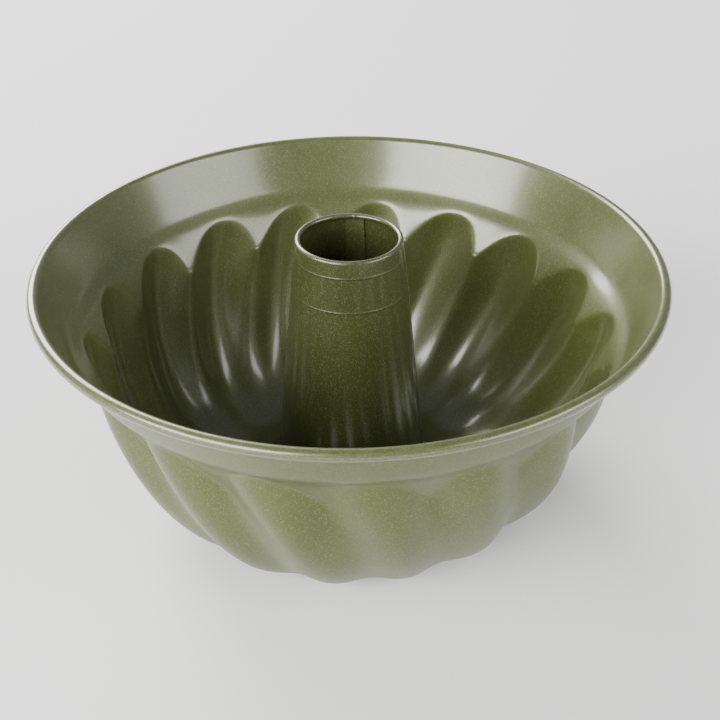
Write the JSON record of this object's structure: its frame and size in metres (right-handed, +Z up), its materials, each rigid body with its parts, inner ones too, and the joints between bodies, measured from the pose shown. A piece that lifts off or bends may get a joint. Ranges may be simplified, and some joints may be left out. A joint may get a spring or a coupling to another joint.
{
  "type": "bundt pan",
  "caption": "Round fluted ring-cake pan with a rolled rim, sloping collar, swirled flutes and an open centre tube.",
  "frame": {"origin": "centre of the resting ring's underside, on the pan's axis", "axes": "+Z up along the pan's axis, out of its mouth; -Y towards the front; the tube's lap seam is at +Y"},
  "size_m": [0.22, 0.22, 0.1073],
  "materials": {
    "coated_steel": "satin non-stick coating with fine metallic flake",
    "tube_steel": "satin non-stick coating with fine metallic flake",
    "wire_steel": "drawn wire"
  },
  "bodies": {
    "root": {"fluted_shell": "coated_steel", "centre_tube": "tube_steel", "rim_wire": "wire_steel"}
  },
  "joints": []
}
